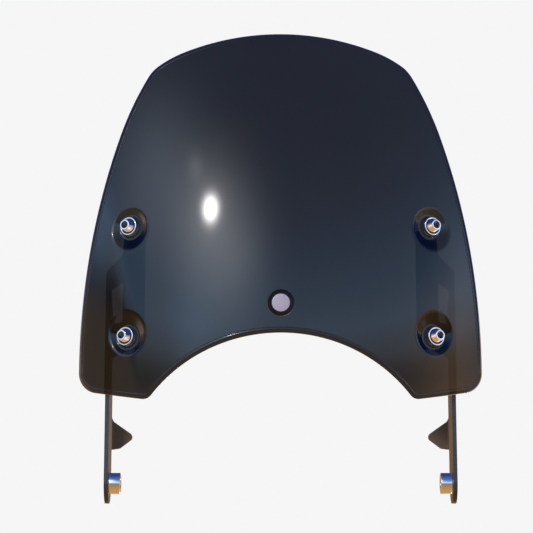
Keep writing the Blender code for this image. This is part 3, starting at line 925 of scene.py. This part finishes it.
def blacken(mesh, where):
    """Chrome all over, but painted dark on the faces where a test of (radius, height) holds."""
    mesh.materials.clear()
    mesh.materials.append(LOOKS["chrome"])
    mesh.materials.append(PAINTED_DARK)
    for face in mesh.polygons:
        middle = face.center / MM
        face.material_index = int(where(middle.xy.length, middle.z))


def grommet_mesh():
    """The rubber mount: ribbed collar, thin lip of painted shade in front of the screen, neck and flange.
    """
    bore = SLEEVE_RADIUS + GAP
    top, lip = GAP + COLLAR_THICK, GAP + SHADE_LIP_THICK
    back = -GLASS_THICK - GAP
    foot = back - BACK_FLANGE_THICK
    # Where the ribs are.
    low, high = lip + 0.5, top - 0.6
    profile = rounded([
        (bore, top, 0.1), (COLLAR_RADIUS, top, 0.5),
        (COLLAR_RADIUS, high, 0), (COLLAR_RADIUS, high - 0.05, 0),
        (COLLAR_RADIUS, low + 0.05, 0), (COLLAR_RADIUS, low, 0),
        # The lip: painted shade on the seat round the collar.
        (COLLAR_RADIUS, lip, 0.3), (SHADE_LIP_RADIUS, lip, 0.15),
        (SHADE_LIP_RADIUS, GAP, 0.1), (NECK_RADIUS, GAP, 0), (NECK_RADIUS, back, 0),
        (BACK_FLANGE_RADIUS, back, 0.45), (BACK_FLANGE_RADIUS, foot, 0.5), (bore, foot, 0.1),
    ], step=math.radians(18))

    def ribs(radius, height, angle):
        if abs(radius - COLLAR_RADIUS) > 0.01 or not low + 0.02 < height < high - 0.02:
            return radius
        return radius - COLLAR_RIB_DEPTH * (0.5 + 0.5 * math.cos(COLLAR_RIBS * angle))

    return lathe("grommet", profile, sides=COLLAR_RIBS * 6, wobble=ribs)


def cup_mesh():
    """The cup washer, from its back face forward."""
    inner, bore = CUP_RADIUS - CUP_RIM, SCREW_HOLE_RADIUS
    profile = rounded([
        (bore, CUP_FLOOR, 0.1), (inner - 0.2, CUP_FLOOR, 0.1), (inner, CUP_HEIGHT, 0.25),
        (CUP_RADIUS, CUP_HEIGHT, 0.4), (CUP_RADIUS, 0, 0.3), (bore, 0, 0.1),
    ], step=math.radians(12))
    mesh = lathe("cup_washer", profile, sides=96)
    # The cup's outer side below its rim is painted dark.
    blacken(mesh, lambda radius, height: radius > CUP_RADIUS - 0.1 and height < CUP_HEIGHT - 0.3)
    return mesh


def cup_shade_ring_mesh():
    """A black ring on the cup's floor, from the cup's back face: painted shade in the gap round the head.
    """
    outer, inner = CUP_RADIUS - CUP_RIM - 0.28, HEAD_BASE_RADIUS - 0.9
    low, high = CUP_FLOOR + 0.02, CUP_FLOOR + 0.22
    profile = rounded([
        (inner, high, 0.05), (outer, high, 0.08), (outer, low, 0), (inner, low, 0),
    ], step=math.radians(30))
    return lathe("cup_liner", profile, sides=64)


def cap_screw_mesh():
    """The cap screw, from the underside of its head: a ribbed taper, a socket and a thread."""
    turns = int(THREAD_LENGTH / PITCH)
    foot = -SHANK_LENGTH + THREAD_FROM_TIP
    thread = []
    for i in reversed(range(turns)):
        thread.append((SHANK_RADIUS, foot + PITCH * (i + 1), 0))
        thread.append((SHANK_RADIUS - THREAD_DEPTH, foot + PITCH * (i + 0.5), 0))
    # Where the ribs are.
    low, high = 0.8, HEAD_HEIGHT - 1.1
    slope = (HEAD_BASE_RADIUS - HEAD_TOP_RADIUS) / HEAD_HEIGHT
    profile = rounded([
        (0, HEAD_HEIGHT, 0), (HEAD_TOP_RADIUS, HEAD_HEIGHT, 0.4),
        (HEAD_TOP_RADIUS + slope * (HEAD_HEIGHT - high - 0.1), high + 0.1, 0),
        (HEAD_TOP_RADIUS + slope * (HEAD_HEIGHT - high), high, 0),
        (HEAD_BASE_RADIUS - slope * low, low, 0),
        (HEAD_BASE_RADIUS - slope * (low - 0.1), low - 0.1, 0),
        (HEAD_BASE_RADIUS, 0, 0.35), (SHANK_RADIUS, 0, 0),
        *thread, (SHANK_RADIUS, -SHANK_LENGTH + 0.9, 0),
        (SHANK_RADIUS - 0.7, -SHANK_LENGTH, 0), (0, -SHANK_LENGTH, 0),
    ], step=math.radians(10), closed=False)

    def ribs(radius, height, angle):
        if not low - 0.01 < height < high + 0.01:
            return radius
        return radius - HEAD_RIB_DEPTH * (0.5 + 0.5 * math.cos(HEAD_RIBS * angle)) ** 2

    floor = HEAD_HEIGHT - SOCKET_DEPTH

    def in_socket(radius, height):
        return radius < LEAD_IN_RADIUS and floor - 0.1 < height < HEAD_HEIGHT - 0.05

    blank = lathe("cap_screw", profile, sides=HEAD_RIBS * 5, through=False, wobble=ribs)
    socket = prism("socket", ring((0, 0), SOCKET_RADIUS, sides=6), floor, HEAD_HEIGHT + 1)
    lead_in = lathe("lead_in", [
        (0, HEAD_HEIGHT + 1), (LEAD_IN_RADIUS + 1, HEAD_HEIGHT + 1),
        (LEAD_IN_RADIUS - 1, HEAD_HEIGHT - 1), (0, HEAD_HEIGHT - 1),
    ], sides=72, through=False)
    mesh = combined(combined(blank, "DIFFERENCE", socket), "DIFFERENCE", lead_in)
    shade(mesh, sharp=25)
    # The socket's inside is painted dark: painted shade in its recess.
    blacken(mesh, in_socket)
    return mesh


def washer_mesh():
    """The back washer, from its front face back."""
    profile = rounded([
        (SCREW_HOLE_RADIUS, 0, 0.15), (WASHER_RADIUS, 0, 0.15),
        (WASHER_RADIUS, -WASHER_THICK, 0.3), (SCREW_HOLE_RADIUS, -WASHER_THICK, 0.15),
    ], step=math.radians(22))
    return lathe("back_washer", profile, sides=64)


def nut_mesh():
    """The lock nut, from its front face back: a chamfered hexagon with a collar over its nylon."""
    hexagon = prism("hexagon", ring((0, 0), NUT_CORNER, sides=6), -NUT_HEIGHT, 0)
    turned = lathe("chamfer", [
        (0, 0), (NUT_CORNER - 0.9, 0), (NUT_CORNER + 0.1, -0.58), (NUT_CORNER + 0.1, -NUT_HEX + 0.5),
        (NUT_COLLAR_FOOT, -NUT_HEX), (NUT_COLLAR_RADIUS, -NUT_HEIGHT + 0.7),
        (NUT_COLLAR_TOP, -NUT_HEIGHT), (0, -NUT_HEIGHT),
    ], sides=72, through=False)
    mesh = combined(hexagon, "INTERSECT", turned)
    past = -NUT_HEIGHT - 1
    for name, radius, top in (
        ("hole", SCREW_HOLE_RADIUS, 1),
        ("pocket", POCKET_RADIUS, -NUT_HEIGHT + POCKET_DEPTH),
    ):
        profile = [(0, top), (radius, top), (radius, past), (0, past)]
        mesh = combined(mesh, "DIFFERENCE", lathe(name, profile, sides=48, through=False))
    shade(mesh, sharp=25)
    return mesh


def nylon_mesh():
    """The ring inside the nut's back."""
    profile = rounded([
        (RING_BORE, RING_HIGH, 0.1), (RING_RADIUS, RING_HIGH, 0.1),
        (RING_RADIUS, RING_LOW, 0.25), (RING_BORE, RING_LOW, 0.25),
    ], step=math.radians(30))
    return lathe("nylon_ring", profile, sides=48)


def build_hardware():
    """The pieces on the four screws. A kind without a material of its own has its slot's."""
    for name, mesh, height, slot, node, *own in (
        ("rubber_mount", grommet_mesh(), 0, "black_rubber", "grommet"),
        ("cup", cup_mesh(), CUP_BACK, "chrome", "cup_washer"),
        # A black ring in each cup: painted shade round the screw's head.
        ("cup_liner", cup_shade_ring_mesh(), CUP_BACK, "black_rubber", "cup_washer"),
        ("socket_screw", cap_screw_mesh(), HEAD_BACK, "chrome", "cap_screw"),
        ("plain_washer", washer_mesh(), WASHER_FRONT, "zinc_steel", "back_washer"),
        ("nyloc_nut", nut_mesh(), NUT_FRONT, "zinc_steel", "lock_nut"),
        ("nyloc_ring", nylon_mesh(), NUT_FRONT - NUT_HEIGHT, "zinc_steel", "lock_nut", NYLON),
    ):
        for corner in CORNERS:
            place = at_seat(corner, height)
            nodes = [f"{node}_{corner}"]
            piece = new_piece(f"{name}_{corner}", mesh, "windshield", slot, nodes, place, *own)
            piece.visible_glossy = False
    for corner in CORNERS:
        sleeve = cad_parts[f"spacer_sleeve_{corner}"]
        sleeve.visible_glossy = False
        sleeve.data.materials.clear()
        sleeve.data.materials.append(LOOKS["zinc_steel"])


def build_bushes():
    """Heads on the brackets' inner sides, and spigots through the plates."""
    shoulder = PLATE_MIDDLE_X - PLATE / 2 - GAP
    tip = PLATE_MIDDLE_X + PLATE / 2
    end = shoulder - BUSH_LENGTH
    profile = rounded([
        (BUSH_BORE, tip, 0.3), (SPIGOT_RADIUS, tip, 0.3), (SPIGOT_RADIUS, shoulder, 0.1),
        (BUSH_RADIUS, shoulder, 0.45), (BUSH_RADIUS, end, 0.8), (BUSH_BORE, end, 0.6),
    ], step=math.radians(15))
    mesh = lathe("pivot_bush", profile, sides=112)
    for name, side in SIDES.items():
        place = Matrix.Rotation(side * math.pi / 2, 4, "Y")
        new_piece(f"pivot_bush_{name}", mesh, "fork_bushes", "chrome", [f"bush_{name}"], place)


def build_badge():
    """A black bezel with a plain turned disc in it."""
    middle = Vector(glass_front(np.array([[0.0, BADGE_Z]]))[0])
    lean = math.asin((BADGE_Z - LEAN_START_Z) / LEAN_RADIUS)
    place = Matrix.Rotation(math.pi / 2 - lean, 4, "X")
    place.translation = (middle + place.col[2].xyz * GAP) * MM
    lip = BADGE_RADIUS - BADGE_LIP
    recess = lip - BADGE_SHELF
    shelf = BADGE_HEIGHT - BADGE_STEP
    floor = shelf - DISC_THICK - DISC_DOME
    profile = rounded([
        (0, floor, 0), (recess, floor, 0.1), (recess, shelf, 0.15), (lip, shelf, 0.2),
        (lip, BADGE_HEIGHT, 0.35), (BADGE_RADIUS - 0.1, BADGE_HEIGHT - 0.1, 0.8),
        (BADGE_RADIUS, 0, 0.2), (0, 0, 0),
    ], step=math.radians(12), closed=False)
    bezel = lathe("badge_ring", profile, sides=96, through=False)
    low = floor + GAP
    face = recess - GAP
    top = low + DISC_THICK + DISC_DOME
    shares = [i / DOME_STEPS for i in range(DOME_STEPS)]
    dome = [(face * share, top - DISC_DOME * share**2, 0) for share in shares]
    profile = rounded([
        *dome, (face, low + DISC_THICK, 0.2), (face, low, 0.1), (0, low, 0),
    ], step=math.radians(20), closed=False)
    disc = lathe("badge_face", profile, sides=96, through=False)
    new_piece("badge_ring", bezel, "windshield", "badge_black", ["badge_bezel"], place)
    new_piece("badge_face", disc, "windshield", "badge_silver", ["badge_disc"], place)


# The studio.


def build_world():
    """Pale to the camera. What is reflected is a soft sky over warm ground, with glows in it."""
    world = bpy.data.worlds.new("studio")
    bpy.context.scene.world = world
    world.use_nodes = True
    tree = world.node_tree
    tree.nodes.clear()

    def eased(value, start, end, top=1.0):
        """0 where a value is at its start and top where it is at its end, and smooth between."""
        inputs = {"Value": value, "From Min": start, "From Max": end, "To Max": top}
        node = add_node(tree, "ShaderNodeMapRange", inputs, interpolation_type="SMOOTHSTEP")
        return node.outputs["Result"]

    direction = add_node(tree, "ShaderNodeTexCoord").outputs["Generated"]
    parts = add_node(tree, "ShaderNodeSeparateXYZ", {0: direction}).outputs
    left = eased(parts["X"], -LEFT_FROM, -LEFT_TO, LEFT_RISE)
    rise = calculated(tree, "MULTIPLY", left, eased(parts["Y"], 0.0, -LEFT_AHEAD))
    height = calculated(tree, "SUBTRACT", parts["Z"], rise)
    place = add_node(tree, "ShaderNodeMapRange", {"Value": height, "From Min": -1}).outputs["Result"]

    def ramp(stops):
        node = add_node(tree, "ShaderNodeValToRGB", {"Fac": place})
        elements = node.color_ramp.elements
        for i, (z, colour) in enumerate(stops):
            element = elements[i] if i < 2 else elements.new((z + 1) / 2)
            element.position = (z + 1) / 2
            element.color = (*(part / SKY_STRENGTH for part in colour), 1)
        return node.outputs["Color"]

    around = add_node(tree, "ShaderNodeMix", {
        "Factor": eased(parts["Y"], -SIDE_BLEND, SIDE_BLEND),
        "A": ramp(FRONT_LIGHT),
        "B": ramp(BACK_LIGHT),
    }, data_type="RGBA").outputs["Result"]
    lit = add_node(tree, "ShaderNodeEmission", {"Color": around, "Strength": SKY_STRENGTH})
    for toward, colour, strength, power in GLOWS:
        inputs = {0: direction, 1: toward.normalized()}
        dot = add_node(tree, "ShaderNodeVectorMath", inputs, operation="DOT_PRODUCT")
        fade = calculated(tree, "POWER", dot.outputs["Value"], power, use_clamp=True)
        inputs = {"Color": (*colour, 1), "Strength": calculated(tree, "MULTIPLY", fade, strength)}
        glow = add_node(tree, "ShaderNodeEmission", inputs)
        lit = add_node(tree, "ShaderNodeAddShader", {0: lit.outputs[0], 1: glow.outputs[0]})
    pale = add_node(tree, "ShaderNodeEmission", {"Color": (PALE, PALE, PALE, 1)})
    path = add_node(tree, "ShaderNodeLightPath").outputs
    seen = calculated(tree, "MAXIMUM", path["Is Camera Ray"], path["Is Transmission Ray"])
    # A reflection off the far face from within the screen leaves through its tint.
    within = calculated(tree, "COMPARE", path["Transmission Depth"], 1, 0.5)
    tint = calculated(tree, "MULTIPLY", within, 1 - TINT_ON_LEAVING)
    tinted = add_node(tree, "ShaderNodeMixShader", {"Fac": tint, 1: lit.outputs[0]})
    inputs = {"Fac": seen, 1: tinted.outputs[0], 2: pale.outputs[0]}
    choose = add_node(tree, "ShaderNodeMixShader", inputs)
    add_node(tree, "ShaderNodeOutputWorld", {"Surface": choose.outputs[0]})


def build_floor():
    """A plain pale floor under the part, which lights nothing."""
    height = cad_box[0].z / MM - FLOOR_DROP
    signs = ((-1, -1), (1, -1), (1, 1), (-1, 1))
    mesh = new_mesh("floor", [(x * FLOOR_HALF, y * FLOOR_HALF, height) for x, y in signs], [range(4)])
    floor = new_object("floor", mesh)
    material = bpy.data.materials.new("pale_floor")
    material.use_nodes = True
    feed(material.node_tree, material.node_tree.nodes["Principled BSDF"], {
        "Base Color": (0, 0, 0, 1),
        "Specular IOR Level": 0,
        "Emission Color": (PALE, PALE, PALE, 1),
        "Emission Strength": 1,
    })
    mesh.materials.append(material)
    floor.visible_glossy = False
    floor.visible_diffuse = False
    floor.visible_shadow = False


def area_light(name, direction, distance, size, power, colour):
    """A soft light that shines on the middle of the object from a direction."""
    middle = (cad_box[0] + cad_box[1]) / 2
    light = bpy.data.lights.new(name, "AREA")
    light.shape = "DISK"
    light.size = size
    light.energy = power
    light.color = colour
    lamp = new_object(name, light)
    lamp.location = middle + direction.normalized() * distance
    lamp.rotation_euler = direction.to_track_quat("Z", "Y").to_euler()
    lamp.visible_glossy = False
    lamp.visible_transmission = False
    lamp.visible_camera = False


def build_camera():
    data = bpy.data.cameras.new("camera")
    camera = new_object("camera", data)
    camera.location = CAMERA_AT * MM
    camera.rotation_euler = (math.pi / 2, 0, 0)
    data.sensor_width = 36.0
    data.lens = data.sensor_width * -CAMERA_AT.y / VIEW_WIDTH
    data.clip_end = 100
    bpy.context.scene.camera = camera


build_camera()
build_screen()
build_brackets()
build_hardware()
build_bushes()
build_badge()
build_world()
build_floor()
for name, lamp in LAMPS.items():
    area_light(name, *lamp)
bpy.context.scene.view_settings.view_transform = "Standard"
